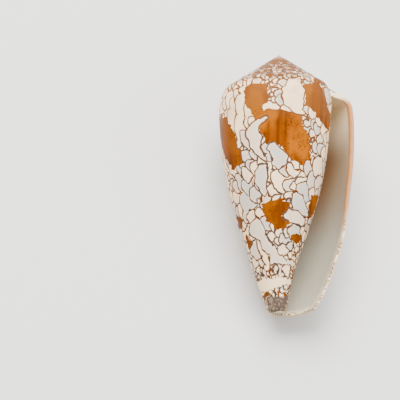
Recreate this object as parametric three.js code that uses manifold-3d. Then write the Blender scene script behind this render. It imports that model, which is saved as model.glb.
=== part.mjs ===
// A cone shell, one piece, lying on its back with its mouth upwards.
//
// The shell is a wall that winds round a coiling axis. Every half plane through that axis cuts it in a
// profile, which runs from the suture over the shoulder and down the side to the front end. The profile
// grows by a fixed ratio with each turn, and the last half turn also flares out to the lip.
// Millimetres. In the shell's own axes the coiling axis is Y, with the apex at the origin and the front
// end towards -Y, and the mouth faces +Z. A last turn lays it down at rest, +Z up.
import * as THREE from "three";
import { mergeVertices } from "three/addons/utils/BufferGeometryUtils.js";
import Module from "manifold-3d";

const WHORL_GROWTH = 1.32; // how much larger each whorl is than the one before
const SPIRE_WHORLS = 8;

// Ramp and shoulder at the lip: radius and depth below the apex, and how far the lip flares beyond them.
const SHOULDER = [
  { radius: 12.8, depth: 8.9, flare: 0.1 },
  { radius: 14.2, depth: 9.85, flare: 1.0 },
  { radius: 15.0, depth: 11.35, flare: 1.45 },
  { radius: 15.5, depth: 13.5, flare: 1.45 },
  { radius: 15.73, depth: 17.5, flare: 1.45 },
];
// The side below it: the radius half a turn before the lip, its growth in half a turn, and the lip's flare.
const SIDE = [
  { depth: 24.7, radius: 12.88, growth: 1.207, flare: 1.45 },
  { depth: 33.7, radius: 11.17, growth: 1.258, flare: 2.0 },
  { depth: 42.7, radius: 8.65, growth: 1.425, flare: 2.6 },
  { depth: 50.6, radius: 5.95, growth: 1.766, flare: 1.9 },
  { depth: 56.2, radius: 4.0, growth: 2.09, flare: 1.9 },
];
// The front end. The depth of its edge is given from the lip backwards, every 45 degrees.
const FRONT = { radius: 2.5, growth: 2.07, flare: 3.0 };
const FRONT_EDGE = [59.9, 60.5, 60.6, 60.6, 60.8, 60.9, 60.6];
const COLUMELLA_RADIUS = 0.9; // the least radius of the pillar that the whorls wind round
const SUTURE_AT = 2.2; // where on a whorl's profile the next whorl joins it, in control points

const WALL = 1.25; // thickness of the last whorl's wall
const WALL_AT_FRONT = 0.85; // its thickness at the front end
const NOSE = 1.0; // length over which the lip rounds off
const NOSE_DEPTH = 0.32; // how much of the wall the rounding takes from each face

const HOLLOW_TURNS = 1.25; // how far the hollow runs back from the mouth
const CANAL_ARC = 150; // degrees of the front end that stay open
const HOLLOW_OVERSHOOT = 3; // degrees by which the cutting solid passes the lip
const HOLLOW_FRONT_AT_END = 8.2; // where its front ends at its inner end, in control points
const BEYOND_FRONT = 2; // how far it passes the front end
const CLEAR_OF_BODY = 0.04;

const COLUMN_DEGREES = 7.5;
const RAMP_ROWS = [0, 1.1, SUTURE_AT];
const SIDE_ROWS = [2.6, 3, 3.5, 4, 4.6, 5.2, 5.8, 6.4, 7, 7.6, 8.2, 8.8, 9.4, 10, 10.5, 11];
const HOLLOW_ROWS = 15;

// How the shell lies: its lip raised by this angle and its front end lowered, on a worn spot of its back.
const REST_ROLL = 10;
const REST_PITCH = 8;
const WORN_DEPTH = 0.2;

const RADIANS = Math.PI / 180;
const mix = (a, b, share) => a + (b - a) * share;
const clamp01 = (x) => Math.min(1, Math.max(0, x));

// A point of the smooth curve through the control points, at s counted in control points.
function alongCurve(points, s) {
  const i = Math.min(Math.floor(s), points.length - 2);
  const t = s - i;
  const at = (k) => points[Math.min(Math.max(k, 0), points.length - 1)];
  const smooth = (axis) => {
    const [a, b, c, d] = [at(i - 1)[axis], at(i)[axis], at(i + 1)[axis], at(i + 2)[axis]];
    return b + 0.5 * t * (c - a + t * (2 * a - 5 * b + 4 * c - d + t * (3 * (b - c) + d - a)));
  };
  return [smooth(0), smooth(1)];
}

// Depth of the front end's edge at an angle of growth.
function frontEdge(angle) {
  const at = Math.min(-angle / 45, FRONT_EDGE.length - 1);
  return alongCurve(FRONT_EDGE.map((depth) => [0, depth]), at)[1];
}

// Control points of the profile at an angle of growth, in degrees: 0 at the lip and negative before it.
function profile(angle) {
  const size = WHORL_GROWTH ** (angle / 360);
  const halfTurns = 1 + angle / 180;
  const flaring = clamp01(halfTurns) ** 2;
  const sideRadius = ({ radius, growth, flare }) =>
    Math.hypot(radius * growth ** halfTurns + flare * flaring, COLUMELLA_RADIUS);
  const shoulder = SHOULDER.map(({ radius, depth, flare }) => [
    size * radius + flare * flaring,
    size * depth,
  ]);
  const side = SIDE.map((point) => [sideRadius(point), point.depth]);
  const front = [sideRadius(FRONT), frontEdge(angle)];
  // The suture lies on the whorl before, at the same place on its profile all the way up the spire.
  const plain = SHOULDER.map(({ radius, depth }) => [size * radius, size * depth]);
  const suture = alongCurve([plain[0], ...plain], SUTURE_AT).map((x) => x / WHORL_GROWTH);
  return [suture, ...shoulder, ...side, front];
}

function wallAt(s) {
  return mix(WALL, WALL_AT_FRONT, clamp01((s - 5) / 6));
}

// How much the lip's rounding takes from a face, at an angle before the lip.
function noseAt(angle, radius) {
  const back = clamp01((-angle * RADIANS * radius) / NOSE);
  return NOSE_DEPTH * (1 - Math.sqrt(1 - (1 - back) ** 2));
}

// A point of the half plane at an angle of growth, in the shell's own axes.
function place([radius, depth], angle) {
  return [radius * Math.cos(angle * RADIANS), -depth, radius * Math.sin(angle * RADIANS)];
}

// The profile moved inwards by a distance, at s.
function inset(points, s, distance) {
  const step = 0.02;
  const [r0, d0] = alongCurve(points, Math.max(0, s - step));
  const [r1, d1] = alongCurve(points, Math.min(points.length - 1, s + step));
  const [r, d] = alongCurve(points, s);
  const length = Math.hypot(r1 - r0, d1 - d0);
  return [r - (distance * (d1 - d0)) / length, d + (distance * (r1 - r0)) / length];
}

// The radius of a profile at a depth.
function radiusAt(points, depth) {
  let low = 0;
  let high = points.length - 1;
  for (let i = 0; i < 30; i++) {
    const middle = (low + high) / 2;
    if (alongCurve(points, middle)[1] < depth) low = middle;
    else high = middle;
  }
  return alongCurve(points, low)[0];
}

// Collects the triangles of one closed solid.
class Faces {
  constructor() {
    this.positions = [];
  }
  triangle(a, b, c) {
    this.positions.push(...a, ...b, ...c);
  }
  quad(a, b, c, d) {
    this.triangle(a, b, c);
    this.triangle(a, c, d);
  }
  // Fills between two chains of points, stepping down whichever chain is behind.
  strip(left, right) {
    let i = 0;
    let j = 0;
    while (i < left.length - 1 || j < right.length - 1) {
      const leftOnly = j === right.length - 1;
      const leftNext = i < left.length - 1 && !leftOnly && left[i + 1][1] > right[j + 1][1];
      if (leftOnly || leftNext) this.triangle(left[i], right[j], left[++i]);
      else this.triangle(left[i], right[j], right[++j]);
    }
  }
  solid() {
    const raw = new THREE.BufferGeometry();
    raw.setAttribute("position", new THREE.Float32BufferAttribute(this.positions, 3));
    const merged = mergeVertices(raw, 1e-4);
    const corners = merged.index.array;
    const index = [];
    for (let i = 0; i < corners.length; i += 3) {
      const [a, b, c] = corners.slice(i, i + 3);
      if (a !== b && b !== c && c !== a) index.push(a, b, c);
    }
    const vertProperties = new Float32Array(merged.attributes.position.array);
    return new wasm.Manifold(
      new wasm.Mesh({ numProp: 3, vertProperties, triVerts: new Uint32Array(index) }),
    );
  }
}

// The angles at which the wall is cut into columns, the last ones close together at the lip.
function columnAngles(first) {
  const angles = [];
  for (let angle = first; angle < 0; angle += COLUMN_DEGREES) angles.push(angle);
  return [...angles, -1.8, 0];
}

// Everything inside the shell's outer surface, spire and last whorl.
function outerSolid() {
  const faces = new Faces();
  const rows = [...RAMP_ROWS, ...SIDE_ROWS];
  const spireOf = (angle) => {
    const chain = [];
    for (let whorl = SPIRE_WHORLS; whorl > 0; whorl--) {
      const points = profile(angle - 360 * whorl);
      for (const s of RAMP_ROWS.slice(0, -1)) chain.push(place(alongCurve(points, s), angle));
    }
    return chain;
  };
  const whorlOf = (angle) => {
    const points = profile(angle);
    return rows.map((s) => {
      const [radius, depth] = alongCurve(points, s);
      const cut = s < SUTURE_AT ? 0 : noseAt(angle, radius);
      return place([radius - cut, depth], angle);
    });
  };
  const apex = [0, 0, 0];
  const front = [0, -FRONT_EDGE.at(-1), 0];
  const chains = columnAngles(-360).map((angle) => [apex, ...spireOf(angle), ...whorlOf(angle), front]);
  for (let i = 1; i < chains.length; i++) {
    const [before, after] = [chains[i - 1], chains[i]];
    for (let j = 1; j < before.length; j++) faces.quad(before[j - 1], after[j - 1], after[j], before[j]);
  }
  // The step from the lip down to the body whorl, and the little step where the spire begins.
  const first = chains[0];
  const last = chains.at(-1);
  const lipStart = first.length - 1 - rows.length;
  const bodyStart = lipStart + RAMP_ROWS.length - 1;
  faces.strip(last.slice(lipStart), first.slice(bodyStart));
  faces.strip([last[0], last[1]], first.slice(0, RAMP_ROWS.length));
  return faces.solid();
}

// The hollow of the last whorls, as a solid that cuts it out. It passes the lip and the front end.
function hollowSolid() {
  const faces = new Faces();
  const first = -360 * HOLLOW_TURNS;
  const sections = [...columnAngles(first), HOLLOW_OVERSHOOT].map((angle) => hollowSection(angle, first));
  for (let i = 1; i < sections.length; i++) {
    const [before, after] = [sections[i - 1], sections[i]];
    before.forEach((point, j) => {
      const next = (j + 1) % before.length;
      faces.quad(point, after[j], after[next], before[next]);
    });
  }
  const capEnd = (section, turned) => {
    for (let j = 0; j < section.length / 2 - 1; j++) {
      const far = section.length - 1 - j;
      const corners = [section[j], section[j + 1], section[far - 1], section[far]];
      faces.quad(...(turned ? corners.reverse() : corners));
    }
  };
  capEnd(sections[0], false);
  capEnd(sections.at(-1), true);
  return faces.solid();
}

// The outline of the hollow in one half plane: down the wall's inner face and back up the whorl inside it.
function hollowSection(angle, first) {
  const wall = profile(Math.min(angle, 0));
  const body = profile(angle - 360);
  const size = Math.min(1, WHORL_GROWTH ** (angle / 360));
  const innerFace = (s) => inset(wall, s, wallAt(s) * size);
  // The hollow starts where the wall's inner face meets the whorl inside it.
  let low = 0.3;
  let high = 3.2;
  for (let i = 0; i < 30; i++) {
    const middle = (low + high) / 2;
    const [radius, depth] = innerFace(middle);
    if (radius < radiusAt(body, depth)) low = middle;
    else high = middle;
  }
  const last = wall.length - 1;
  const canal = clamp01((angle - first) / (-CANAL_ARC - first));
  const bottom = mix(HOLLOW_FRONT_AT_END, last, canal);
  const inner = [];
  for (let row = 0; row < HOLLOW_ROWS; row++) {
    const s = mix(low, bottom, (row / (HOLLOW_ROWS - 1)) ** 1.25);
    const [radius, depth] = innerFace(s);
    inner.push([radius + (row ? noseAt(Math.min(angle, 0), radius) : 0), depth]);
  }
  const [endRadius, endDepth] = inner.at(-1);
  inner.push([endRadius, endDepth + (canal < 1 ? 0.1 : BEYOND_FRONT)]);
  const clear = angle > 0 ? CLEAR_OF_BODY : 0;
  const core = inner.map(([radius, depth]) => [Math.min(radius - 0.02, radiusAt(body, depth) + clear), depth]);
  return [...inner, ...core.reverse()].map((point) => place(point, angle));
}

// Turns the solid from the shell's own axes to how it lies, with its worn spot at the height of zero.
function laidDown(solid) {
  const turned = solid.rotate([0, -REST_ROLL, 0]).rotate([REST_PITCH, 0, 0]);
  const { min, max } = turned.boundingBox();
  const ground = min[2] + WORN_DEPTH;
  const middle = [(min[0] + max[0]) / 2, (min[1] + max[1]) / 2];
  return turned.trimByPlane([0, 0, 1], ground).translate([-middle[0], -middle[1], -ground]);
}

function toGeometry(solid) {
  const mesh = solid.getMesh();
  const geometry = new THREE.BufferGeometry();
  geometry.setAttribute("position", new THREE.BufferAttribute(mesh.vertProperties, 3));
  geometry.setIndex(new THREE.BufferAttribute(mesh.triVerts, 1));
  return geometry;
}

const wasm = await Module();
wasm.setup();

const shellMaterial = new THREE.MeshStandardMaterial({ color: 0xe9dcc6, roughness: 0.35, metalness: 0 });
const shell = new THREE.Mesh(toGeometry(laidDown(outerSolid().subtract(hollowSolid()))), shellMaterial);
shell.name = "shell";

const part = new THREE.Group();
part.name = "cone_shell";
part.add(shell);

export default part;
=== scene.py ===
"""A cone shell on its back, with its mouth upwards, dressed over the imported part.

The wall winds round a coiling axis. The shape comes from the same control points as the part, with finer
steps. Lengths are in millimetres until the shell is put in its place. In the shell's own axes the coiling
axis is Y, the apex is the origin and the mouth faces +Z. Depth is measured down from the apex. An angle of
growth is 0 at the lip and negative before it.

The markings are drawn as overlapping scales. Each has a rounded tip that points along the growth, and the
older scale lies over the younger one. Orange patches lie among the scales in the same order.
"""

import math

import bmesh
import bpy
import numpy as np
from mathutils import Matrix, Vector


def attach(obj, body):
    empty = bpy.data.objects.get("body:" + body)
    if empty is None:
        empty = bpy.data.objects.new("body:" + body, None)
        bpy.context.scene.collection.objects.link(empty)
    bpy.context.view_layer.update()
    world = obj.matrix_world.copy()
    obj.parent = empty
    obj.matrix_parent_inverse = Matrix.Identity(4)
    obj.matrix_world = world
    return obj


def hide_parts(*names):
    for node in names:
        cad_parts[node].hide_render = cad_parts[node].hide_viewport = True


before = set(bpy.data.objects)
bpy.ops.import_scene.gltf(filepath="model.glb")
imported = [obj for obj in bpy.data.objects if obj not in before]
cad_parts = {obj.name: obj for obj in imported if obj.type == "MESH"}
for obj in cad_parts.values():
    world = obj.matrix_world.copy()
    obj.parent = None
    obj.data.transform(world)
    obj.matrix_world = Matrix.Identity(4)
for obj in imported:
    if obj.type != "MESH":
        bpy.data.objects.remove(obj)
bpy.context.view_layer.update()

# Shape of the outer surface.
WHORL_GROWTH = 1.32  # how much larger each whorl is than the one before
SPIRE_WHORLS = 8
# Ramp and shoulder at the lip: radius, depth, flare of the lip.
SHOULDER = np.array([
    (12.8, 8.9, 0.1),
    (14.2, 9.85, 1.0),
    (15.0, 11.35, 1.45),
    (15.5, 13.5, 1.45),
    (15.73, 17.5, 1.45),
])
# The side: depth, radius half a turn before the lip, its growth in half a turn, flare of the lip.
SIDE = np.array([
    (24.7, 12.88, 1.207, 1.45),
    (33.7, 11.17, 1.258, 2.0),
    (42.7, 8.65, 1.425, 2.6),
    (50.6, 5.95, 1.766, 1.9),
    (56.2, 4.0, 2.09, 1.9),
])
FRONT = (2.5, 2.07, 3.0)  # the front end: radius half a turn before the lip, its growth, flare of the lip
FRONT_EDGE = (59.9, 60.5, 60.6, 60.6, 60.8, 60.9, 60.6)  # depth of the front edge, every 45 degrees
COLUMELLA_RADIUS = 0.9  # the least radius of the pillar that the whorls wind round
SUTURE_AT = 2.2  # where on a whorl's profile the next whorl joins it, in control points
SUTURE_GROOVE = 0.14  # depth of the groove along the suture
GROOVE_FADE = 30  # degrees over which the groove runs out towards the lip
NOSE = 1.0  # width of the rounding at the edge of the lip and of the front end
NOSE_DEPTH = 0.32
END = 11  # the last control point of a profile

# Shape of the hollow.
WALL = 1.25
WALL_AT_FRONT = 0.85
WALL_THINS = (5, 11)  # control points between which the wall thins
HOLLOW_TURNS = 1.25
HOLLOW_TOP = (0.3, 3.2)  # control points between which the hollow's upper end lies
CANAL_ARC = 150  # degrees before the lip over which the hollow is open at the front end
HOLLOW_OVERSHOOT = 3  # degrees that the hollow's tool runs on past the lip
HOLLOW_FRONT_AT_END = 8.2  # control point of the hollow's lower end, where the hollow begins
BEYOND_FRONT = 2
CLEAR_OF_BODY = 0.04

# Steps of the mesh.
COLUMNS = 288  # round one turn
LIP_COLUMNS = (-4.0, -3.2, -2.4, -1.7, -1.1, -0.6, -0.25, 0.0)  # closer ones at the edge of the lip
RAMP_STEPS = 6
SIDE_STEPS = 150
HOLLOW_COLUMN_DEGREES = 2.0
HOLLOW_STEPS = 44
HOLLOW_SPACING = 1.25  # over 1, rows lie closer at the hollow's upper end
TANGENT_STEP = 0.02  # control points either side of a place whose tangent is wanted
HALVINGS = 26
SLIVER = 0.004  # edges shorter than this are collapsed in the end

# How the shell lies.
REST_ROLL = 10
REST_PITCH = 8
APEX = Vector((-1.677, 30.244, 17.453))  # where the apex lies
MILLIMETRE = 0.001

# How faces are told apart.
NOMINAL_RADIUS = 12  # turns an angle of growth into the length that patterns run over
STEEPEST = 0.45  # least outward share of a normal, so that slants stay finite
LIP_OUTSIDE = 0.3
INSIDE_BELOW = 0.5  # inside the mouth, if deeper than this under the outer surface
BODY_BELOW = 1.5  # on the whorl before, if deeper than this and as near to its surface as follows
BODY_WITHIN = 0.2

# The scales.
SEED = 7
TRIES = 26000
SPACING = (0.62, 0.74)  # least distance of two scales, over the sum of their widths or heights
SCALE_WIDTH = 1.1  # length of a scale's tip
HIDDEN = 2.6  # how far a scale runs on under the older ones, over its tip's length
OUTSET = 0.1  # scales start no farther inside a patch than this
MARKED_FROM = -372  # the markings end this far back under the lip
DRAWN_FROM = -376
SPIRE_FROM = -1500  # the whorls before this angle have no scales
SPIRE_DEPTH = 9  # the spire ends about here
# Size and share of bare ground by depth: depths, then values.
SIZE_BY_DEPTH = (
    (0, 5, 8, 11, 16, 34, 42, 49, 53, 60),
    (0.3, 0.42, 0.72, 0.95, 1.2, 1.2, 1.0, 0.7, 0.42, 0.36),
)
GAPS_BY_DEPTH = (
    (2, 4, 8, 9.5, 51, 52.3, 57, 58),
    (0.5, 0.55, 0.45, 0.08, 0.08, 0.38, 0.33, 0.0),
)
FEWER_GAPS = (-165, 20, 0.25)  # younger and deeper than this, only this share of the gaps is left
COARSE_VARIETY = 1.3  # spread of sizes over large areas, as a power of two
FINE_VARIETY = 1.5
SLIMMEST, TALLEST = 0.95, 1.9  # height of a scale over its width
# Areas with other scales: middle and spread of the angle, then of the depth.
BACK = (-115, 50, 24, 13)
FLANK = (-215, 35, 20, 13)
CREAMY = (-200, 35, 14, 12)
BASE = (-95, 60)
BASE_DEPTHS = (40, 48)  # where the area at the base comes in
SPECKLE_REACH = 1.3  # small scales lie this far beyond a patch
LEAN = (5, 40)  # degrees, by area
LEAN_VARIETY = (-12, 12)
ROUNDNESS = (1.15, 2.3)  # power of the outline: 1 is a diamond, 2 an ellipse
TIP_HEIGHTS = (0.8, 1.2)  # height of a tip's upper and lower half
SHRUNK = 0.72  # size of scales among bare ground
ORANGE_SHARE, ORANGE_OFFSET = 0.6, 0.05
JOIN_WITHIN = (1.1, 0.3, 2.3)  # widths to the side, least millimetres below, heights below
WARP = 0.28  # how far outlines stray from their plain shape
WARP_CELL = 0.9
WARP_SEEDS = (21, 22)

# Layers over a face: up to three with their distances, and what lies below.
LAYERS = 3
NEAR = 0.3  # as far as an outline shows from the edge of a scale
FAR_OUTSIDE = -9.0
MOST_TINT = 0.4  # a white scale's kind is its tint, from 0 for cream to this for bluish
PLAIN, GAP, ORANGE = 0.6, 0.8, 1.0  # the other kinds
LINED_BELOW, GAP_ABOVE, ORANGE_ABOVE = 0.5, 0.7, 0.9  # limits between the kinds
GROUND_TINT = 0.2
BARE_FROM = 0.3
FRONT_SIDE = -180  # patches older than this lie over more of the scales beside them
OVER_BESIDE = 0.8
LARGE_KEY, BAND_KEY = -4000, -5000  # older than any scale, so these lie on top
JAG_SEED = 40
LARGE_NUMBER, BAND_NUMBER = 50, 99
JAG_CELL = (0.55, 2.5)
PATCH_JAG, LARGE_JAG, BAND_JAG = 1.1, 0.35, 0.3  # how jagged an outline is
PATCH_RADIUS = 10

# Orange patches: outline as (angle of growth, depth).
PATCHES = {
    "shoulder left": (
        (-232, 10.5), (-246, 9.9), (-258, 10.5), (-260, 14.0), (-252, 16.4), (-240, 17.6), (-231, 14.0),
    ),
    "shoulder right": ((-296, 10.1), (-322, 9.1), (-329, 12.7), (-337, 15.0), (-308, 16.2), (-296, 14.9)),
    "big": (
        (-240, 17.4), (-258, 16.0), (-276, 16.7), (-295, 17.0), (-296, 20.0), (-307, 23.2), (-311, 27.6),
        (-294, 28.7), (-279, 27.0), (-267, 24.4), (-255, 24.4), (-246, 20.7),
    ),
    "band": ((-306, 15.4), (-322, 14.4), (-348, 14.2), (-352, 19.2), (-334, 19.2), (-320, 17.9)),
    "left": (
        (-190, 15.0), (-204, 16.4), (-212, 18.9), (-219, 22.8), (-229, 25.8), (-228, 27.8), (-208, 29.1),
        (-200, 26.6), (-187, 23.5), (-182, 18.6),
    ),
    "low middle": (
        (-244, 38.0), (-257, 36.9), (-277, 36.4), (-287, 37.6), (-274, 40.2), (-286, 42.3), (-272, 43.3),
        (-259, 42.7), (-246, 41.2),
    ),
    "low right": ((-321, 35.1), (-346, 33.6), (-352, 37.0), (-330, 40.0), (-322, 38.6)),
    "low left": ((-187, 37.8), (-201, 39.6), (-194, 42.4), (-181, 41.1)),
    "base left": ((-198, 43.0), (-211, 45.1), (-202, 48.6), (-190, 46.6)),
    "small front": ((-294, 44.2), (-318, 43.5), (-322, 45.6), (-298, 45.9)),
    "top": ((-59, 7.0), (-93, 7.0), (-98, 8.7), (-88, 9.7), (-70, 9.0)),
    "strip": ((-67, 9.6), (-80, 10.2), (-88, 12.7), (-83, 15.0), (-86, 17.0), (-76, 17.9), (-68, 13.0)),
    "large": (
        (-71, 18.5), (-97, 18.3), (-103, 22.0), (-106, 26.4), (-107, 31.0), (-93, 32.6), (-79, 31.8),
        (-69, 28.6), (-63, 21.8),
    ),
    "right middle": ((-136, 19.2), (-146, 20.0), (-157, 24.5), (-148, 29.8), (-140, 29.2), (-137, 24.0)),
    "right edge": ((-170, 12.0), (-182, 12.6), (-190, 16.1), (-186, 20.6), (-176, 19.6), (-173, 16.0)),
    "left edge": (
        (-28, 14.5), (-38, 15.5), (-42, 23.5), (-38, 29.6), (-50, 32.4), (-34, 33.6), (-26, 25.0),
    ),
    "lower": (
        (-76, 42.0), (-92, 42.9), (-118, 44.5), (-104, 47.0), (-103, 49.6), (-88, 49.9), (-80, 48.0),
        (-70, 45.2),
    ),
    "low edge": ((-34, 43.0), (-46, 44.8), (-48, 48.1), (-35, 48.0)),
    "small back": ((-129, 41.2), (-157, 42.1), (-139, 43.4)),
    "base": ((-103, 54.4), (-148, 53.6), (-147, 55.2), (-110, 55.6)),
}
# The largest white scales: (tint, outline). They lie over the others.
LARGE_SCALES = {
    "below spire": (0.02, (
        (-279, 9.0), (-294, 8.1), (-294, 10.6), (-297, 11.3), (-295, 16.0), (-303, 18.1), (-285, 17.2),
        (-275, 15.5), (-272, 13.6), (-273, 11.4),
    )),
    "hook": (0.26, (
        (-257, 18.0), (-247, 18.5), (-240, 19.4), (-231, 21.0), (-234, 22.9), (-236, 24.7), (-244, 26.7),
        (-253, 28.3), (-255, 27.5), (-249, 25.9), (-247, 24.5), (-251, 22.9), (-247, 21.4), (-248, 20.1),
        (-257, 18.7),
    )),
    "under big": (0.4, (
        (-258, 24.1), (-264, 23.8), (-271, 25.3), (-280, 27.2), (-278, 28.8), (-269, 30.1), (-260, 28.9),
        (-261, 27.0), (-255, 25.4),
    )),
    "left column": (0.34, (
        (-247, 28.8), (-254, 28.6), (-256, 30.4), (-253, 32.6), (-254, 34.8), (-249, 36.1), (-243, 35.1),
        (-238, 32.4), (-239, 30.2),
    )),
    "low right": (0.34, (
        (-292, 34.4), (-303, 35.2), (-311, 36.8), (-328, 38.9), (-318, 39.7), (-293, 39.1), (-286, 37.3),
        (-287, 35.5),
    )),
    "beside low middle": (0.25, (
        (-284, 38.4), (-300, 39.0), (-319, 40.1), (-322, 41.8), (-296, 41.7), (-275, 40.8), (-276, 39.6),
    )),
    "low left": (0.28, (
        (-234, 39.9), (-242, 42.5), (-248, 45.7), (-259, 46.6), (-265, 48.1), (-287, 49.3), (-332, 49.7),
        (-323, 50.6), (-243, 50.6), (-244, 48.5), (-229, 47.0), (-230, 45.5), (-211, 43.6), (-213, 42.3),
        (-225, 40.6),
    )),
}
# The plain pale band round the front end, seen from the mouth's side.
PALE_BAND = (
    (-168, 53.6), (-240, 53.5), (-330, 53.5), (-330, 54.3), (-280, 55.1), (-207, 56.2), (-175, 55.8),
)

# Colours outside.
CREAM = (1.0, 0.71, 0.42, 1)
BLUISH = (0.52, 0.47, 0.41, 1)
ROSE = (0.72, 0.48, 0.36, 1)
ORANGE_BROWN = (0.21, 0.045, 0.0, 1)
BROWN = (0.10, 0.022, 0.0, 1)
DASH_BROWN = (0.06, 0.014, 0.0, 1)
BRIGHT = (0.34, 0.09, 0.0, 1)
# Painted sheen: the orange patches on the shoulder turn paler and greyer towards this tan.
SHOULDER_SHEEN_TAN = (0.21, 0.075, 0.018, 1)
LINE_GREY = (0.055, 0.038, 0.032, 1)
LINE_BROWN = (0.09, 0.028, 0.008, 1)
LINE_WARM = (0.17, 0.055, 0.014, 1)
LINE_FRINGE = (0.30, 0.12, 0.045, 1)
# Painted shade in the groove along each suture.
SUTURE_SHADE = (0.07, 0.028, 0.012, 1)
SPIRE_TAN = (0.26, 0.13, 0.06, 1)
SPIRE_BROWN = (0.07, 0.022, 0.006, 1)
APEX_ROSE = (0.46, 0.30, 0.19, 1)
GAP_BROWN = (0.22, 0.06, 0.008, 1)
TIP_SHADE = (0.30, 0.27, 0.25, 1)
TIP_GREY = (0.13, 0.10, 0.08, 1)
# Colours inside and on the lip.
INSIDE_CREAM = (0.92, 0.76, 0.52, 1)
INSIDE_GREY = (0.38, 0.34, 0.26, 1)
# Painted shade deep in the mouth, in warm taupe and then brown, stronger farther in from the lip.
DEEP_SHADE_TAUPE = (0.32, 0.21, 0.115, 1)
DEEP_SHADE_BROWN = (0.26, 0.11, 0.04, 1)
LIP_ROSE = (0.43, 0.23, 0.135, 1)
LIP_ORANGE = (0.42, 0.16, 0.035, 1)
LIP_BROWN = (0.15, 0.06, 0.016, 1)

# Where colours change, in millimetres.
LOW_LIP_STARTS = (34.0, 44.0)  # depths between which the lip turns from rosy to cream and brown
RIM_ENDS = (1.2, 2.6)  # from the edge of the lip
EDGE_BLUR = 0.03
LINE_INNER, LINE_OUTER = (0.12, 0.16), (0.2, 0.28)  # half width of a line, thin and thick
FRONT_OUTSIDE = 5.0  # keeps the rim off the outer surface at the front end

# Uneven patterns: stretch round the shell, down the side and by depth, scale and detail of the noise, and
# the two values of the noise between which the pattern comes in.
PATTERNS = {
    "rose shade": ((0.5, 0.5, 0.0), 0.55, 2.0, 0.45, 0.75),
    "streaks": ((0.9, 0.05, 0.0), 0.9, 2.0, 0.3, 0.6),
    "bright areas": ((1.0, 0.5, 0.0), 0.2, 2.0, 0.42, 0.6),
    "spots": ((1.1, 4.0, 0.0), 1.5, 1.0, 0.5, 0.6),
    "spotted areas": ((1.0, 1.0, 1.0), 0.28, 2.0, 0.48, 0.62),
    "line width": ((1.0, 1.0, 1.0), 0.7, 2.0, 0.3, 0.7),
    "brown lines": ((1.0, 1.0, 1.0), 0.16, 2.0, 0.48, 0.62),
    "spire": ((0.7, 2.2, 0.0), 1.3, 2.0, 0.44, 0.55),
    "upper lip": ((1.0, 0.9, 0.3), 1.0, 1.0, 0.3, 0.5),
    "lower lip": ((1.0, 0.9, 0.3), 1.0, 1.0, 0.42, 0.54),
    "along lip": ((0.0, 0.0, 1.0), 0.3, 2.0, 0.4, 0.56),
}
# The finish.
ROUGHNESS = 0.32
SPECULAR = 0.02
RELIEF = ((2.4, 0.25, 0.0), 1.2, 3.0, 0.6)  # fine growth lines: stretch, scale, detail and roughness
RELIEF_STRENGTH, RELIEF_HEIGHT = 0.12, 0.0002

# The picture.
PX = 0.2273  # millimetres of the shell to a pixel of the photograph
APEX_PIXEL = (279, 55)
PICTURE = 400
CAMERA_LEAN = 15  # how far the apex leans away from the camera
LENS = 500  # a long lens, so that the picture is nearly without perspective
LENGTH = 60.9  # of the shell along its axis
# Lamps: place, size, power.
LAMPS = {
    "key light": ((-0.25, 0.70, 1.15), 1.2, 70.0),
    "fill light": ((0.70, -0.20, 1.00), 1.2, 14.0),
}


def mix(a, b, share):
    return a + (b - a) * share


def clamp01(x):
    return np.clip(x, 0, 1)


def halved(low, high, is_low):
    """Where a test turns from true to false between low and high, for arrays of both."""
    for _ in range(HALVINGS):
        middle = (low + high) / 2
        below = is_low(middle)
        low = np.where(below, middle, low)
        high = np.where(below, high, middle)
    return low


def smooth_at(points, s):
    """Points of smooth curves: points is (n, m, k), s is (n,) and counts control points."""
    rows = np.arange(len(points))
    i = np.minimum(np.floor(s).astype(int), points.shape[1] - 2)
    t = (s - i)[:, None]
    a, b, c, d = (points[rows, np.clip(i + k, 0, points.shape[1] - 1)] for k in (-1, 0, 1, 2))
    return b + 0.5 * t * (c - a + t * (2 * a - 5 * b + 4 * c - d + t * (3 * (b - c) + d - a)))


def along(points, s):
    """Every curve at every s: (n, m, k) and (p,) give (n, p, k)."""
    n, p = len(points), len(s)
    flat = smooth_at(np.repeat(points, p, axis=0), np.tile(s, n))
    return flat.reshape(n, p, -1)


def front_edge(angles):
    table = np.tile(np.array(FRONT_EDGE)[None, :, None], (len(angles), 1, 1))
    return smooth_at(table, np.clip(-angles / 45, 0, len(FRONT_EDGE) - 1))[:, 0]


def profile(angles):
    """Control points (radius, depth) of the profile at each angle of growth."""
    angles = np.asarray(angles, float)
    size = (WHORL_GROWTH ** (angles / 360))[:, None]
    half_turns = (1 + angles / 180)[:, None]
    flaring = clamp01(half_turns) ** 2
    shoulder = np.stack(
        [size * SHOULDER[:, 0] + SHOULDER[:, 2] * flaring, size * SHOULDER[:, 1]], axis=2
    )
    radius = np.hypot(SIDE[:, 1] * SIDE[:, 2] ** half_turns + SIDE[:, 3] * flaring, COLUMELLA_RADIUS)
    side = np.stack([radius, np.broadcast_to(SIDE[:, 0], radius.shape)], axis=2)
    front_radius = np.hypot(FRONT[0] * FRONT[1] ** half_turns + FRONT[2] * flaring, COLUMELLA_RADIUS)
    front = np.stack([front_radius[:, 0], front_edge(angles)], axis=1)[:, None]
    plain = size[:, :, None] * SHOULDER[None, :, :2]
    joint = np.concatenate([plain[:, :1], plain], axis=1)
    suture = smooth_at(joint, np.full(len(angles), SUTURE_AT))[:, None] / WHORL_GROWTH
    return np.concatenate([suture, shoulder, side, front], axis=1)


def radius_at(points, depth):
    """Radius at which each curve reaches a depth."""
    low = np.zeros(len(points))
    high = np.full(len(points), points.shape[1] - 1.0)
    s = halved(low, high, lambda middle: smooth_at(points, middle)[:, 1] < depth)
    return smooth_at(points, s)[:, 0]


def rounding(share):
    """How deep a rounded edge is cut, from the share of its width away from the edge."""
    return NOSE_DEPTH * (1 - np.sqrt(1 - (1 - share) ** 2))


def nose_at(angles, radius):
    return rounding(clamp01(-np.radians(angles) * radius / NOSE))


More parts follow.
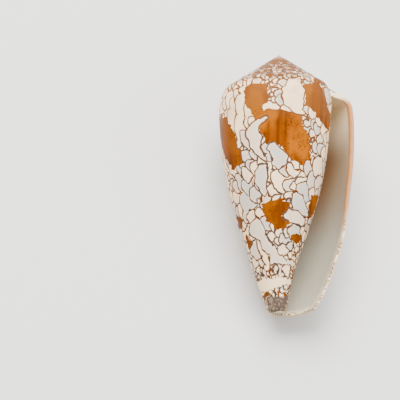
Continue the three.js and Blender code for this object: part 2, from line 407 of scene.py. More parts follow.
def points_at(radius, depth, angles):
    turn = np.radians(angles)
    return np.stack([radius * np.cos(turn), -depth, radius * np.sin(turn)], axis=-1)


def column_angles(first, step):
    angles = np.arange(first, -1e-6, step)
    return np.concatenate([angles[angles < LIP_COLUMNS[0]], LIP_COLUMNS])


def numbered(grid):
    """The points of a grid in one list, and the grid of their numbers."""
    points = grid.reshape(-1, 3)
    return points, np.arange(len(points)).reshape(grid.shape[:2]).tolist()


def quads_between(left, right):
    return [(left[j], right[j], right[j + 1], left[j + 1]) for j in range(len(left) - 1)]


def clean_mesh(name, points, faces):
    """A mesh of those faces, with points that fall together merged and collapsed faces dropped."""
    keys, inverse = np.unique(np.round(points, 4), axis=0, return_inverse=True)
    inverse = inverse.reshape(-1)
    kept = []
    for face in faces:
        ring = []
        for corner in (int(inverse[k]) for k in face):
            if corner not in ring:
                ring.append(corner)
        if len(ring) > 2:
            kept.append(ring)
    mesh = bpy.data.meshes.new(name)
    mesh.from_pydata(keys.tolist(), [], kept)
    mesh.validate()
    return mesh


def strip_faces(points, left, right):
    """Triangles between two chains that both run down the shell."""
    faces, i, j = [], 0, 0
    while i < len(left) - 1 or j < len(right) - 1:
        left_only = j == len(right) - 1
        lag = i < len(left) - 1 and not left_only and points[left[i + 1]][1] > points[right[j + 1]][1]
        if left_only or lag:
            faces.append((left[i], right[j], left[i + 1]))
            i += 1
        else:
            faces.append((left[i], right[j], right[j + 1]))
            j += 1
    return faces


def spire_rows(angles, rows):
    """The ramps of all whorls of the spire, from the apex down."""
    parts = []
    for whorl in range(SPIRE_WHORLS, 0, -1):
        curve = along(profile(angles - 360 * whorl), rows)
        curve[:, 0, 0] -= SUTURE_GROOVE * WHORL_GROWTH ** (angles / 360 - whorl)
        parts.append(points_at(curve[..., 0], curve[..., 1], angles[:, None]))
    return parts


def last_whorl_rows(angles, rows):
    """The last whorl, with a rounded lip and front end."""
    curve = along(profile(angles), rows)
    curve[:, 0, 0] -= SUTURE_GROOVE * WHORL_GROWTH ** (angles / 360) * clamp01(-angles / GROOVE_FADE)
    radius = curve[..., 0]
    cut = np.where(rows[None] < SUTURE_AT - 1e-6, 0, nose_at(angles[:, None], radius))
    cut = np.maximum(cut, rounding(clamp01((curve[:, -1:, 1] - curve[..., 1]) / NOSE)))
    return points_at(radius - cut, curve[..., 1], angles[:, None])


def outer_mesh():
    """Everything inside the outer surface, spire and last whorl."""
    angles = column_angles(-360, 360 / COLUMNS)
    ramp = np.linspace(0, SUTURE_AT, RAMP_STEPS + 1)
    side = SUTURE_AT + (END - SUTURE_AT) * np.linspace(0, 1, SIDE_STEPS + 1)[1:]
    rows = np.concatenate([ramp, side])
    apex = np.zeros((len(angles), 1, 3))
    centre = np.zeros((len(angles), 1, 3))
    centre[..., 1] = -FRONT_EDGE[-1]
    parts = [apex, *spire_rows(angles, ramp[:-1]), last_whorl_rows(angles, rows), centre]
    points, index = numbered(np.concatenate(parts, axis=1))
    faces = []
    for before, after in zip(index[:-1], index[1:]):
        faces += quads_between(before, after)
    first, last = index[0], index[-1]
    lip = len(first) - 1 - len(rows)
    body = lip + RAMP_STEPS
    faces += strip_faces(points, last[lip:], first[body:])
    faces += strip_faces(points, last[:2], first[: RAMP_STEPS + 1])
    return clean_mesh("outer", points, faces)


def inner_face(wall, size, s):
    """Radius and depth of the wall's inner face, opposite s on its outer face."""
    before = smooth_at(wall, np.maximum(0, s - TANGENT_STEP))
    after = smooth_at(wall, np.minimum(END, s + TANGENT_STEP))
    point = smooth_at(wall, s)
    lengths = np.hypot(*(after - before).T)
    thinned = clamp01((s - WALL_THINS[0]) / (WALL_THINS[1] - WALL_THINS[0]))
    thickness = size * mix(WALL, WALL_AT_FRONT, thinned)
    radius = point[:, 0] - thickness * (after - before)[:, 1] / lengths
    return radius, point[:, 1] + thickness * (after - before)[:, 0] / lengths


def hollow_faces(index):
    """Faces between the sections of the hollow, and over its first and its last section."""
    faces = []
    for before, after in zip(index[:-1], index[1:]):
        faces += quads_between(before + before[:1], after + after[:1])
    half = len(index[0]) // 2
    for section, turned in ((index[0], False), (index[-1], True)):
        for j in range(half - 1):
            far = len(section) - 1 - j
            corners = (section[j], section[j + 1], section[far - 1], section[far])
            faces.append(corners[::-1] if turned else corners)
    return faces


def hollow_mesh():
    """The hollow between the wall's inner face and the whorl before."""
    first = -360 * HOLLOW_TURNS
    angles = np.append(column_angles(first, HOLLOW_COLUMN_DEGREES), [1.0, HOLLOW_OVERSHOOT])
    at_lip = np.minimum(angles, 0)
    wall = profile(at_lip)
    body = profile(angles - 360)
    size = np.minimum(1, WHORL_GROWTH ** (angles / 360))

    def within_body(s):
        radius, depth = inner_face(wall, size, s)
        return radius < radius_at(body, depth)

    top = halved(*(np.full(len(angles), s) for s in HOLLOW_TOP), within_body)
    canal = clamp01((angles - first) / (-CANAL_ARC - first))
    bottom = mix(HOLLOW_FRONT_AT_END, END, canal)
    radii, depths = [], []
    for row in range(HOLLOW_STEPS):
        s = mix(top, bottom, (row / (HOLLOW_STEPS - 1)) ** HOLLOW_SPACING)
        radius, depth = inner_face(wall, size, s)
        radii.append(radius + (nose_at(at_lip, radius) if row else 0))
        depths.append(depth)
    radii.append(radii[-1])
    depths.append(depths[-1] + np.where(canal < 1, 0.1, BEYOND_FRONT))
    clear = np.where(angles > 0, CLEAR_OF_BODY, 0)
    core = [
        np.minimum(radius - 0.02, radius_at(body, depth) + clear)
        for radius, depth in zip(radii, depths)
    ]
    loop_radius = np.stack(radii + core[::-1], axis=1)
    loop_depth = np.stack(depths + depths[::-1], axis=1)
    points, index = numbered(points_at(loop_radius, loop_depth, angles[:, None]))
    return clean_mesh("hollow", points, hollow_faces(index))


def add_object(name, data):
    obj = bpy.data.objects.new(name, data)
    bpy.context.scene.collection.objects.link(obj)
    return obj


def shell_mesh():
    """The outer solid with the hollow cut out."""
    outer = add_object("outer", outer_mesh())
    hollow = add_object("hollow", hollow_mesh())
    cut = outer.modifiers.new("cut", "BOOLEAN")
    cut.operation = "DIFFERENCE"
    cut.solver = "MANIFOLD"
    cut.object = hollow
    bpy.context.view_layer.update()
    evaluated = outer.evaluated_get(bpy.context.evaluated_depsgraph_get())
    mesh = bpy.data.meshes.new_from_object(evaluated)
    for obj in (outer, hollow):
        old = obj.data
        bpy.data.objects.remove(obj)
        bpy.data.meshes.remove(old)
    return mesh


def outer_radius(angles, depth):
    return radius_at(profile(angles), depth)


def suture_depth(angles):
    return profile(angles)[:, 0, 1]


def read(items, name, width=1, kind=float):
    """One value, or one row of values, for each item of a mesh."""
    values = np.empty(len(items) * width, kind)
    items.foreach_get(name, values)
    return values if width == 1 else values.reshape(-1, width)


def wrapped(degrees):
    return (degrees + 180) % 360 - 180


def round_length(angle):
    return np.radians(angle) * NOMINAL_RADIUS


class Surface:
    """Where every corner and every face's centre lies on the shell, and what each face is part of."""

    def __init__(self, mesh):
        vertex = read(mesh.loops, "vertex_index", kind=np.int64)
        places = read(mesh.vertices, "co", 3)
        normals = read(mesh.vertex_normals, "vector", 3)
        self.starts = read(mesh.polygons, "loop_start", kind=np.int64)
        self.areas = read(mesh.polygons, "area")
        self.counts = read(mesh.polygons, "loop_total", kind=np.int64)
        self.face = np.repeat(np.arange(len(self.starts)), self.counts)
        turn = np.degrees(np.arctan2(places[:, 2], places[:, 0]))
        radius = np.hypot(places[:, 0], places[:, 2])
        radial = (normals[:, 0] * places[:, 0] + normals[:, 2] * places[:, 2]) / np.maximum(radius, 1e-6)
        slant = 1 / np.clip(np.abs(radial), STEEPEST, 1)
        self.depth = -places[vertex, 1]
        self.radius = radius[vertex]
        self.slant = slant[vertex]
        self.face_slant = np.bincount(self.face, self.slant) / self.counts
        face_turn = self.sort_faces(places[vertex])
        self.angle = self.face_angle[self.face] + wrapped(turn[vertex] - face_turn[self.face])
        self.warp()
        self.read_depths()

    def sort_faces(self, corners):
        """Tells the spire, the mouth's inside and the whorl before apart. Gives each face's turn."""
        centre = np.stack([np.bincount(self.face, corners[:, k]) / self.counts for k in range(3)], axis=1)
        face_turn = np.degrees(np.arctan2(centre[:, 2], centre[:, 0])) % 360
        self.face_depth = -centre[:, 1]
        self.face_radius = np.hypot(centre[:, 0], centre[:, 2])
        angle = face_turn - 360
        past_wall = self.face_radius > outer_radius(angle, self.face_depth) + LIP_OUTSIDE
        angle = np.where((face_turn < 0.05) & past_wall, 0, angle)
        suture = suture_depth(angle)
        self.above = self.face_depth < suture
        smaller = suture / np.maximum(self.face_depth, 0.05)
        whorls = np.ceil(np.log(smaller) / math.log(WHORL_GROWTH))
        angle = np.where(self.above, angle - 360 * whorls, angle)
        own = outer_radius(np.maximum(angle, -360), self.face_depth)
        skin = np.where(self.above, 0, own - self.face_radius)
        self.inside = (skin > INSIDE_BELOW) & ~self.above
        near_body = np.abs(outer_radius(angle - 360, self.face_depth) - self.face_radius) < BODY_WITHIN
        self.core = self.inside & (skin > BODY_BELOW) & near_body
        self.face_angle = np.where(self.core, angle - 360, angle)
        return face_turn

    def warp(self):
        """Places that stray a little, so that outlines drawn at them are uneven."""
        u = round_length(self.angle) / WARP_CELL
        stray = [WARP * 2 * (lattice_noise(u, self.depth / WARP_CELL, seed) - 0.5) for seed in WARP_SEEDS]
        self.warped_angle = self.angle + np.degrees(stray[0] / np.maximum(self.radius, 0.5))
        self.warped_depth = self.depth + stray[1] / self.slant

    def read_depths(self):
        """How far each corner lies in from the lip, under the outer surface and below the suture."""
        reach = np.where(self.core[self.face], self.angle + 360, self.angle)
        self.depth_in = np.maximum(0, -reach) * np.radians(1) * self.radius
        own_skin = outer_radius(np.clip(reach, -360, 0), self.depth) - self.radius
        self.skin = np.where(self.above[self.face], 0, own_skin)
        self.below_suture = (self.depth - suture_depth(self.angle)) * self.slant

    def marked(self, back_to):
        """Faces that carry markings: all outside, and the whorl before as far back as that angle."""
        return ~self.inside | (self.core & (self.face_angle > back_to))

    def corners_of(self, faces):
        """Numbers of all corners of those faces, and where each face's corners start among them."""
        counts = self.counts[faces]
        first = np.cumsum(counts) - counts
        within = np.arange(counts.sum()) - np.repeat(first, counts)
        return np.repeat(self.starts[faces], counts) + within, first


def lattice_noise(x, y, seed):
    """Smooth noise from 0 to 1 with a period of 64 cells."""
    table = np.random.default_rng(seed).random((64, 64))
    x0, y0 = np.floor(x).astype(int), np.floor(y).astype(int)
    fx, fy = x - x0, y - y0
    fx, fy = fx * fx * (3 - 2 * fx), fy * fy * (3 - 2 * fy)

    def corner(i, j):
        return table[(x0 + i) % 64, (y0 + j) % 64]

    top = mix(corner(0, 0), corner(1, 0), fx)
    return mix(top, mix(corner(0, 1), corner(1, 1), fx), fy)


def area_noise(angle, depth, cell, seed):
    return lattice_noise(round_length(angle) / cell[0], depth / cell[1], seed)


def outline_distance(outline, angle, depth, radius, slant):
    """Millimetres inside an outline, negative outside, for points on the surface."""
    x = np.stack([np.radians(a - angle) * radius for a, _ in outline])
    y = np.stack([(d - depth) * slant for _, d in outline])
    nearest = np.full(len(angle), 1e9)
    odd = np.zeros(len(angle), bool)
    for i in range(len(outline)):
        x0, y0, x1, y1 = x[i - 1], y[i - 1], x[i], y[i]
        dx, dy = x1 - x0, y1 - y0
        t = clamp01(-(x0 * dx + y0 * dy) / np.maximum(dx * dx + dy * dy, 1e-9))
        nearest = np.minimum(nearest, np.hypot(x0 + t * dx, y0 + t * dy))
        crossing = (y0 > 0) != (y1 > 0)
        with np.errstate(divide="ignore", invalid="ignore"):
            odd ^= crossing & (x0 - y0 * dx / dy > 0)
    return np.where(odd, nearest, -nearest)


def inside_any(outlines, *spots):
    """Millimetres inside the nearest of several outlines, negative outside them all."""
    return np.max([outline_distance(outline, *spots) for outline in outlines], axis=0)


def bareness(angle, depth):
    """How much of the ground shows between the scales: a lot on the spire and beside the pale band."""
    angle_limit, depth_limit, share = FEWER_GAPS
    seen = np.where((angle < angle_limit) | (depth < depth_limit), 1, share)
    return np.interp(depth, *GAPS_BY_DEPTH) * seen


def hill(x, middle, spread):
    return np.exp(-(((x - middle) / spread) ** 2))


def area(angle, depth, middle, spread, middle_depth, spread_depth):
    return hill(angle, middle, spread) * hill(depth, middle_depth, spread_depth)


def scale_size(angle, depth, radius, slant):
    """Width and height of a scale, and how likely it joins the next one below, by place on the shell."""
    coarse = area_noise(angle, depth, (5, 6), 11)
    fine = area_noise(angle, depth, (1.6, 1.6), 12)
    back, flank = area(angle, depth, *BACK), area(angle, depth, *FLANK)
    younger = inside_any(PATCHES.values(), angle + np.degrees(SPECKLE_REACH / radius), depth, radius, slant)
    here = area_noise(angle, depth, (2, 2), 15) > 0.42
    speckled = clamp01(0.6 + younger) * here
    base = hill(angle, *BASE) * np.interp(depth, BASE_DEPTHS, (0, 1))
    variety = 2 ** (COARSE_VARIETY * (coarse - 0.5) + FINE_VARIETY * (fine - 0.5))
    size = np.interp(depth, *SIZE_BY_DEPTH) * variety * (1 + 0.35 * back + 0.9 * base)
    width = SCALE_WIDTH * size * (1 - 0.5 * speckled) * (1 - 0.28 * flank)
    shape = mix(SLIMMEST, TALLEST, area_noise(angle, depth, (3, 3), 13))
    height = width * shape * (1 + 0.4 * back + 0.9 * flank)
    join = 0.25 + 0.9 * back + 0.5 * flank + 0.5 * (coarse - 0.5)
    return width, height, clamp01(join) * (1 - 0.7 * speckled)


def well_apart(allowed, angle, depth, radius, slant, width, height):
    """Numbers of the allowed spots that keep room between them, in the order of picking."""
    kept = np.zeros((4, len(angle)))
    chosen = []
    for i in np.flatnonzero(allowed):
        n = len(chosen)
        du = np.radians(kept[0, :n] - angle[i]) * radius[i]
        dv = (kept[1, :n] - depth[i]) * slant[i]
        across = (kept[2, :n] + width[i]) * SPACING[0]
        up = (kept[3, :n] + height[i]) * SPACING[1]
        if n and np.min((du / across) ** 2 + (dv / up) ** 2) < 1:
            continue
        kept[:, n] = angle[i], depth[i], width[i], height[i]
        chosen.append(i)
    return np.array(chosen)


def throw_scales(surface):
    """Scales at random spots with room between them, as one array for each of their properties."""
    rng = np.random.default_rng(SEED)
    faces = np.flatnonzero(surface.marked(MARKED_FROM) & (surface.face_angle > SPIRE_FROM))
    share = surface.areas[faces] / surface.areas[faces].sum()
    picked = rng.choice(faces, TRIES, p=share)
    angle, depth = surface.face_angle[picked], surface.face_depth[picked]
    radius, slant = surface.face_radius[picked], surface.face_slant[picked]
    width, height, join = scale_size(angle, depth, radius, slant)
    large = [outline for _, outline in LARGE_SCALES.values()]
    allowed = inside_any([*PATCHES.values(), *large], angle, depth, radius, slant) <= OUTSET
    by_lean, by_join, by_tint, by_power, by_shrink, by_orange = rng.random((len(picked), 6)).T
    chosen = well_apart(allowed, angle, depth, radius, slant, width, height)
    gappy = bareness(angle, depth)
    lean = mix(*LEAN, area_noise(angle, depth, (6, 9), 14)) + mix(*LEAN_VARIETY, by_lean)
    scales = {
        "angle": angle,
        "depth": depth,
        "width": width,
        "height": height,
        "lean": np.radians(lean),
        "join": join > by_join,
        "tint": MOST_TINT * by_tint * (1 - 0.85 * area(angle, depth, *CREAMY)),
        "power": mix(*ROUNDNESS, by_power),
        "shrink": np.where(by_shrink < gappy, SHRUNK, 1.0),
        "orange": by_orange < ORANGE_SHARE * gappy - ORANGE_OFFSET,
    }
    scales = {name: values[chosen] for name, values in scales.items()}
    scales["group"] = join_scales(scales, radius[chosen], slant[chosen])
    return scales


def join_scales(scales, radius, slant):
    """Scales that join share a group: each takes at most one from straight below."""
    widths, least, heights = JOIN_WITHIN
    group = np.arange(len(radius))
    taken = np.zeros(len(radius), bool)
    for i in np.argsort(scales["depth"]):
        if not scales["join"][i]:
            continue
        du = np.radians(scales["angle"] - scales["angle"][i]) * radius[i]
        dv = (scales["depth"] - scales["depth"][i]) * slant[i]
        beside = np.abs(du) < widths * scales["width"][i]
        below = (dv > least) & (dv < heights * scales["height"][i])
        options = np.flatnonzero(beside & below & ~taken)
        if not len(options):
            continue
        j = options[np.argmin(np.abs(du[options]) * 2 + dv[options])]
        taken[j] = True
        group[group == group[j]] = group[i]
    return group


def scale_distance(scales, k, angle, depth, radius, slant):
    """Millimetres inside scale k, negative outside."""
    du = np.radians(angle - scales["angle"][k]) * radius
    dv = (depth - scales["depth"][k]) * slant
    lean = scales["lean"][k]
    along_tip = du * math.cos(lean) + dv * math.sin(lean)
    across = -du * math.sin(lean) + dv * math.cos(lean)
    width, height, power = scales["width"][k], scales["height"][k], scales["power"][k]
    length = np.where(along_tip > 0, width, HIDDEN * width) * scales["shrink"][k]
    height = np.where(across > 0, TIP_HEIGHTS[1], TIP_HEIGHTS[0]) * height * scales["shrink"][k]
    x, y = np.abs(along_tip / length) + 1e-6, np.abs(across / height) + 1e-6
    q = (x**power + y**power) ** (1 / power)
    steepness = np.hypot(x ** (power - 1) / length, y ** (power - 1) / height) * q ** (1 - power)
    return (1 - q) / steepness


def layer_list(scales):
    """What covers the surface, from the top down, as (key, kind, shape). The lowest key is on top.

    A shape is ("scales", numbers of the scales) or ("patch", outline, number, how jagged it is).
    """
    layers = []
    for group in np.unique(scales["group"]):
        members = np.flatnonzero(scales["group"] == group)
        key = scales["angle"][members].mean()
        kind = ORANGE if scales["orange"][members[0]] else float(scales["tint"][members[0]])
        layers.append((key, kind, ("scales", members)))
    for number, outline in enumerate(PATCHES.values()):
        angles = [a for a, _ in outline]
        key = np.mean(angles)
        if key < FRONT_SIDE:
            key = mix(key, min(angles), OVER_BESIDE)
        layers.append((key, ORANGE, ("patch", outline, number, PATCH_JAG)))
    for number, (tint, outline) in enumerate(LARGE_SCALES.values()):
        layers.append((LARGE_KEY - number, tint, ("patch", outline, LARGE_NUMBER + number, LARGE_JAG)))
    layers.append((BAND_KEY, PLAIN, ("patch", PALE_BAND, BAND_NUMBER, BAND_JAG)))
    return sorted(layers, key=lambda layer: layer[0])


def layer_distance(scales, shape, angle, depth, radius, slant):
    if shape[0] == "scales":
        away = [scale_distance(scales, k, angle, depth, radius, slant) for k in shape[1]]
        return np.max(away, axis=0)
    _, outline, number, jagged = shape
    jag = lattice_noise(depth / JAG_CELL[0], round_length(angle) / JAG_CELL[1], JAG_SEED + number) - 0.5
    return outline_distance(outline, angle, depth, radius, slant) + jagged * jag


def layer_radius(scales, key, shape):
    """About the radius of the shell where a layer lies."""
    if shape[0] != "scales":
        return PATCH_RADIUS
    middle = np.mean(scales["depth"][shape[1]])
    angle = np.array([max(key, -360.0)])
    radius = float(outer_radius(angle, np.array([max(middle, SPIRE_DEPTH)]))[0])
    return radius * min(1, middle / SPIRE_DEPTH)


def layer_box(scales, shape, radius):
    """Lowest and highest angle and depth that a layer may reach."""
    if shape[0] == "scales":
        members = shape[1]
        angle, depth = scales["angle"][members], scales["depth"][members]
        size = np.maximum(scales["width"][members] * HIDDEN, scales["height"][members]).max()
        size += 0.3
        turn = np.degrees(size / max(radius, 0.8))
    else:
        angle, depth = np.array(shape[1]).T
        turn, size = (8, 1.2)
    return angle.min() - turn, angle.max() + turn, depth.min() - size, depth.max() + size


def cover(surface, scales):
    """The layers over every face: distances at its corners, and their kinds with what lies below."""
    distances = np.full((len(surface.face), LAYERS), FAR_OUTSIDE)
    bare = bareness(surface.face_angle, surface.face_depth) > BARE_FROM
    kinds = np.repeat(np.where(bare, GAP, GROUND_TINT)[:, None], LAYERS + 1, axis=1)
    used = np.zeros(len(surface.starts), int)
    is_open = surface.marked(DRAWN_FROM)
    order = np.argsort(surface.face_depth)
    sorted_depth = surface.face_depth[order]
    for key, kind, shape in layer_list(scales):
        a0, a1, d0, d1 = layer_box(scales, shape, layer_radius(scales, key, shape))
        span = order[np.searchsorted(sorted_depth, d0) : np.searchsorted(sorted_depth, d1)]
        angle = surface.face_angle[span]
        near = span[is_open[span] & (angle > a0) & (angle < a1)]
        if not len(near):
            continue
        corner, first = surface.corners_of(near)
        angle, depth = surface.warped_angle[corner], surface.warped_depth[corner]
        away = layer_distance(scales, shape, angle, depth, surface.radius[corner], surface.slant[corner])
        most, least = np.maximum.reduceat(away, first), np.minimum.reduceat(away, first)
        touched = most > -NEAR
        level = used[near]
        for k in range(LAYERS + 1):
            here = touched & (level == k)
            kinds[near[here], k] = kind
            if k < LAYERS:
                mask = np.repeat(here, surface.counts[near])
                distances[corner[mask], k] = away[mask]
        used[near[touched]] += 1
        done = (touched & (least > NEAR)) | (used[near] > LAYERS)
        is_open[near[done]] = False
    return distances, kinds[surface.face]


def add_attribute(mesh, name, *columns):
    """Three or four values for each corner, which the material reads by that name."""
    values = np.column_stack(columns).astype(np.float32)
    kind, field = ("FLOAT_VECTOR", "vector") if values.shape[1] == 3 else ("FLOAT_COLOR", "color")
    mesh.attributes.new(name, kind, "CORNER").data.foreach_set(field, values.ravel())


def mark(mesh):
    """Writes the distances and kinds of the markings, and the place on the shell, at the corners."""
    surface = Surface(mesh)
    distances, kinds = cover(surface, throw_scales(surface))
    add_attribute(mesh, "layers", distances)
    add_attribute(mesh, "kinds", kinds)
    down_side = surface.depth * surface.slant
    add_attribute(mesh, "place", round_length(surface.angle), down_side, surface.depth, surface.below_suture)
    to_front = front_edge(np.clip(surface.angle, -360, 0)) - surface.depth
    add_attribute(mesh, "depths", surface.skin, surface.depth_in, surface.core[surface.face], to_front)


class Nodes:
    """Short ways to make the nodes of one material."""

    def __init__(self, tree):
        self.tree = tree

    def add(self, kind, **inputs):
        node = self.tree.nodes.new(kind)
        for name, value in inputs.items():
            self.put(node, name, value)
        return node

    def put(self, node, key, value):
        """Links or sets an input, given by its name or number."""
        socket = node.inputs[key]
        if isinstance(value, bpy.types.NodeSocket):
            self.tree.links.new(value, socket)
        else:
            socket.default_value = value

    def math(self, operation, *values):
        node = self.tree.nodes.new("ShaderNodeMath")
        node.operation = operation
        for i, value in enumerate(values):
            self.put(node, i, value)
        return node.outputs[0]

    def times(self, *values):
        product = values[0]
        for value in values[1:]:
            product = self.math("MULTIPLY", product, value)
        return product

    def above(self, value, limit):
        return self.math("GREATER_THAN", value, limit)

    def ramp(self, value, low, high, at_low=0.0, at_high=1.0):
        node = self.tree.nodes.new("ShaderNodeMapRange")
        node.interpolation_type = "SMOOTHSTEP"
        keys = ("Value", "From Min", "From Max", "To Min", "To Max")
        for key, number in zip(keys, (value, low, high, at_low, at_high)):
            self.put(node, key, number)
        return node.outputs[0]

    def fade(self, value, span, most=1.0):
        """The given amount before a span, and nothing after it."""
        return self.ramp(value, *span, most, 0.0)

    def blend(self, share, a, b, how="MIX"):
        node = self.tree.nodes.new("ShaderNodeMix")
        node.data_type = "RGBA"
        node.blend_type = how
        for key, value in ((0, share), (6, a), (7, b)):
            self.put(node, key, value)
        return node.outputs[2]

    def noise(self, vector, stretch, scale, detail=2.0, roughness=0.5):
        node = self.tree.nodes.new("ShaderNodeVectorMath")
        node.operation = "MULTIPLY"
        self.put(node, 0, vector)
        self.put(node, 1, stretch)
        inputs = {"Vector": node.outputs[0], "Scale": scale, "Detail": detail, "Roughness": roughness}
        return self.add("ShaderNodeTexNoise", **inputs).outputs[0]

    def attribute(self, name):
        node = self.tree.nodes.new("ShaderNodeAttribute")
        node.attribute_name = name
        return node.outputs

    def channels(self, attribute):
        """The four values of a colour attribute."""
        separate = self.add("ShaderNodeSeparateColor", Color=attribute["Color"])
        return [*separate.outputs, attribute["Alpha"]]


class ShellNodes(Nodes):
    """Nodes of the shell's material, with what the mesh says about each place."""

    def __init__(self, tree):
        super().__init__(tree)
        attribute = self.attribute("place")
        self.place = attribute["Vector"]
        self.growth, _, self.depth = self.add("ShaderNodeSeparateXYZ", Vector=self.place).outputs
        self.below_suture = attribute["Alpha"]
        self.skin, self.depth_in, core, self.to_front = self.channels(self.attribute("depths"))
        self.is_core = self.above(core, 0.5)

    def pattern(self, name, least=0.0, most=1.0):
        stretch, scale, detail, low, high = PATTERNS[name]
        return self.ramp(self.noise(self.place, stretch, scale, detail), low, high, least, most)


def white_colour(n, kind, distance):
    tint = n.ramp(kind, 0.0, MOST_TINT)
    pearly = n.times(n.ramp(tint, 0.35, 1.0, 0.0, 0.95), n.ramp(distance, 0.1, 0.8, 0.45, 1.0))
    return n.blend(n.pattern("rose shade", 0.0, 0.6), n.blend(pearly, CREAM, BLUISH), ROSE)


def orange_colour(n, distance):
    orange = n.blend(n.pattern("streaks"), BROWN, ORANGE_BROWN)
    orange = n.blend(n.pattern("bright areas"), orange, BRIGHT)
    where = n.math("MAXIMUM", n.pattern("spotted areas"), n.fade(distance, (0.3, 1.5), 0.8))
    orange = n.blend(n.times(n.pattern("spots", 0.0, 0.85), where), orange, DASH_BROWN)
    flank = n.times(n.ramp(n.growth, -49.0, -44.0, 0.0, 0.6), n.fade(n.growth, (-36.0, -30.0)))
    orange = n.blend(flank, orange, BROWN)
    orange = n.blend(n.ramp(n.depth, 30.0, 40.0, 0.0, 0.45), orange, BROWN)
    # painted sheen on the upper patches, fading out by about 20 mm deep
    return n.blend(n.fade(n.depth, (14.0, 20.0), 0.6), orange, SHOULDER_SHEEN_TAN)


def kind_colour(n, kind, distance):
    """The colour of a layer of that kind, at a distance from its edge."""
    colour = n.blend(n.above(kind, LINED_BELOW), white_colour(n, kind, distance), CREAM)
    colour = n.blend(n.above(kind, GAP_ABOVE), colour, GAP_BROWN)
    return n.blend(n.above(kind, ORANGE_ABOVE), colour, orange_colour(n, distance))


def marked_colour(n):
    """The colour outside: the layers over each other from the lowest up, white ones with an outline."""
    distances = n.add("ShaderNodeSeparateXYZ", Vector=n.attribute("layers")["Vector"]).outputs
    levels = n.channels(n.attribute("kinds"))
    inner, outer = n.pattern("line width", *LINE_INNER), n.pattern("line width", *LINE_OUTER)
    line = n.blend(n.pattern("brown lines"), LINE_GREY, LINE_BROWN)
    line = n.blend(n.fade(n.depth, (14.0, 26.0), 0.75), line, LINE_WARM)
    colour = kind_colour(n, levels[LAYERS], 1.0)
    for level in reversed(range(LAYERS)):
        covered = n.ramp(distances[level], -EDGE_BLUR, EDGE_BLUR)
        colour = n.blend(covered, colour, kind_colour(n, levels[level], distances[level]))
        off_edge = n.math("ABSOLUTE", distances[level])
        edge = n.ramp(off_edge, inner, outer, 1.0, 0.0)
        lined = n.math("LESS_THAN", levels[level], LINED_BELOW)
        drawn = n.blend(n.ramp(off_edge, 0.1, 0.22, 0.0, 0.8), line, LINE_FRINGE)
        colour = n.blend(n.times(edge, lined), colour, drawn)
    return colour


def outside_colour(n):
    """The markings, with a grey tip at the front end, a brown spire, painted shade along the sutures and a
    rosy apex.
    """
    colour = marked_colour(n)
    round_tip = n.times(n.ramp(n.growth, -72, -66), n.fade(n.growth, (-44, -38)))
    tip = n.blend(0.55, n.blend(1.0, colour, TIP_SHADE, "MULTIPLY"), TIP_GREY)
    colour = n.blend(n.times(round_tip, n.ramp(n.depth, 57.2, 57.8)), colour, tip)
    colour = n.blend(n.fade(n.depth, (6.5, 10.0), 0.22), colour, SPIRE_TAN)
    mottled = n.times(n.pattern("spire"), n.fade(n.depth, (7.5, 10.5), 0.8))
    colour = n.blend(mottled, colour, SPIRE_BROWN)
    # painted shade: a dark strip just below each suture, in its groove
    colour = n.blend(n.fade(n.below_suture, (0.12, 0.34), 0.9), colour, SUTURE_SHADE)
    return n.blend(n.fade(n.depth, (0.2, 2.2), 0.9), colour, APEX_ROSE)


def inside_colour(n):
    """The mouth's inside: cream above, grey below, and painted shade in taupe and brown far in at middle
    depth.
    """
    middle = n.times(n.fade(n.depth, (24.0, 46.0)), n.ramp(n.depth, 14.0, 24.0))
    colour = n.blend(n.ramp(n.depth, 14.0, 32.0), INSIDE_CREAM, INSIDE_GREY)
    # painted shade: taupe, then brown, darkens the mouth farther in from the lip at middle depth
    colour = n.blend(n.times(n.ramp(n.depth_in, 0.0, 7.0, 0.45, 0.95), middle), colour, DEEP_SHADE_TAUPE)
    return n.blend(n.times(n.ramp(n.depth_in, 6.0, 11.0, 0.0, 0.7), middle), colour, DEEP_SHADE_BROWN)


def with_lip(n, colour, is_inside):
    """Adds the rosy rim of the lip, with its orange marks above and its brown ones below."""
    outside = n.math("SUBTRACT", 1.0, is_inside)
    from_front = n.math("ADD", n.to_front, n.times(outside, FRONT_OUTSIDE))
    from_edge = n.math("ADD", n.times(n.skin, 0.9), n.math("MINIMUM", n.depth_in, from_front))
    low = n.ramp(n.depth, *LOW_LIP_STARTS)
    on_lip = n.math("SUBTRACT", 1.0, n.is_core)
    rim = n.times(n.fade(from_edge, RIM_ENDS), n.ramp(n.depth, 9.5, 12.5))
    start = n.ramp(n.depth, *LOW_LIP_STARTS, 0.35, 0.1)
    band = n.times(n.ramp(from_edge, start, n.math("ADD", start, 0.4)), n.fade(from_edge, RIM_ENDS))
    upper = n.times(n.pattern("upper lip", 0.7, 1.0), n.pattern("along lip", 0.65, 1.0))
    strength = n.blend(low, upper, n.pattern("lower lip"))
    colour = n.blend(n.times(rim, on_lip), colour, n.blend(low, LIP_ROSE, INSIDE_CREAM))
    marks = n.times(n.times(band, strength), n.times(rim, on_lip))
    return n.blend(marks, colour, n.blend(low, LIP_ORANGE, LIP_BROWN))


def shell_material():
    material = bpy.data.materials.new("shell")
    material.use_nodes = True
    n = ShellNodes(material.node_tree)
    shader = material.node_tree.nodes["Principled BSDF"]
    is_inside = n.ramp(n.skin, 0.35, 0.8)
    share = n.blend(n.is_core, is_inside, n.ramp(n.depth_in, 0.8, 2.0))
    colour = n.blend(share, outside_colour(n), inside_colour(n))
    n.put(shader, "Base Color", with_lip(n, colour, is_inside))
    n.put(shader, "Roughness", ROUGHNESS)
    n.put(shader, "Specular IOR Level", SPECULAR)
    lines = n.noise(n.place, *RELIEF)
    relief = n.add("ShaderNodeBump", Strength=RELIEF_STRENGTH, Distance=RELIEF_HEIGHT, Height=lines)
    n.put(shader, "Normal", relief.outputs[0])
    return material


def island(start):
    """All faces joined to a face by edges."""
    found, waiting = {start}, [start]
    while waiting:
        for edge in waiting.pop().edges:
            for face in edge.link_faces:
                if face not in found:
                    found.add(face)
                    waiting.append(face)
    return found


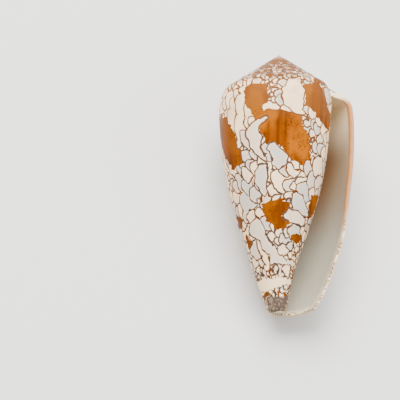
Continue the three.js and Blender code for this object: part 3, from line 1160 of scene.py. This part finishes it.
def drop_scraps(mesh):
    """Collapses the slivers that the cut leaves, and drops what is cut off from the shell."""
    work = bmesh.new()
    work.from_mesh(mesh)
    bmesh.ops.triangulate(work, faces=work.faces)
    bmesh.ops.remove_doubles(work, verts=work.verts, dist=SLIVER)
    bmesh.ops.dissolve_degenerate(work, edges=work.edges, dist=SLIVER)
    rest, largest = set(work.faces), set()
    while rest:
        found = island(next(iter(rest)))
        rest -= found
        largest = max(largest, found, key=len)
    scraps = [face for face in work.faces if face not in largest]
    bmesh.ops.delete(work, geom=scraps, context="FACES")
    bmesh.ops.delete(work, geom=[v for v in work.verts if not v.link_faces], context="VERTS")
    work.to_mesh(mesh)
    work.free()


def to_rest(mesh):
    """Turns the mesh as the shell lies, with the spot it lies on worn flat, and makes it metres."""
    pitch = Matrix.Rotation(math.radians(REST_PITCH), 4, "X")
    turn = pitch @ Matrix.Rotation(-math.radians(REST_ROLL), 4, "Y")
    mesh.transform(Matrix.Translation(APEX) @ turn)
    for vertex in mesh.vertices:
        vertex.co.z = max(vertex.co.z, 0)
    mesh.transform(Matrix.Scale(MILLIMETRE, 4))
    return turn


def add_shell():
    """Builds the shell in its place and gives the turn from its own axes."""
    mesh = shell_mesh()
    mark(mesh)
    drop_scraps(mesh)
    turn = to_rest(mesh)
    mesh.materials.clear()
    mesh.materials.append(shell_material())
    mesh.polygons.foreach_set("material_index", np.zeros(len(mesh.polygons), np.int32))
    mesh.shade_smooth()
    obj = add_object("shell_surface", mesh)
    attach(obj, "root")
    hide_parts("shell")
    return turn


def add_floor():
    bpy.ops.mesh.primitive_plane_add(size=6, location=(0, 0, 0))
    floor = bpy.context.object
    floor.name = "floor"
    material = bpy.data.materials.new("floor")
    material.use_nodes = True
    shader = material.node_tree.nodes["Principled BSDF"]
    shader.inputs["Base Color"].default_value = (0.72, 0.71, 0.69, 1)
    shader.inputs["Roughness"].default_value = 0.9
    floor.data.materials.append(material)


def add_lights():
    for name, (place, size, power) in LAMPS.items():
        light = bpy.data.lights.new(name, "AREA")
        light.size = size
        light.energy = power
        obj = add_object(name, light)
        obj.location = place
        obj.rotation_euler = (-Vector(place)).to_track_quat("-Z", "Y").to_euler()
    world = bpy.data.worlds.new("room")
    world.use_nodes = True
    background = world.node_tree.nodes["Background"]
    background.inputs["Color"].default_value = (1.0, 0.99, 0.97, 1)
    background.inputs["Strength"].default_value = 0.75
    bpy.context.scene.world = world


def add_camera(turn):
    """A camera square to the picture: it sees the mouth with the apex leaning away."""
    lean = math.radians(CAMERA_LEAN)
    axes = turn.to_3x3()
    right = axes @ Vector((1, 0, 0))
    up = axes @ Vector((0, math.cos(lean), math.sin(lean)))
    back = axes @ Vector((0, -math.sin(lean), math.cos(lean)))
    across = (APEX_PIXEL[0] - PICTURE / 2) * PX * MILLIMETRE
    above = (PICTURE / 2 - APEX_PIXEL[1]) * PX * MILLIMETRE
    camera = add_object("camera", bpy.data.cameras.new("camera"))
    camera.data.lens = LENS
    camera.data.clip_start = 0.01
    camera.data.clip_end = 5
    distance = PICTURE * PX * MILLIMETRE * LENS / camera.data.sensor_width
    view = Matrix((right, up, back)).transposed().to_4x4()
    nearer = MILLIMETRE * (axes @ Vector((0, -0.5 * LENGTH, 0))).dot(back)
    farther = 1 + nearer / distance
    centre = APEX * MILLIMETRE - (right * across + up * above) * farther
    camera.matrix_world = Matrix.Translation(centre + back * (nearer + distance)) @ view
    bpy.context.scene.camera = camera


add_camera(add_shell())
add_floor()
add_lights()
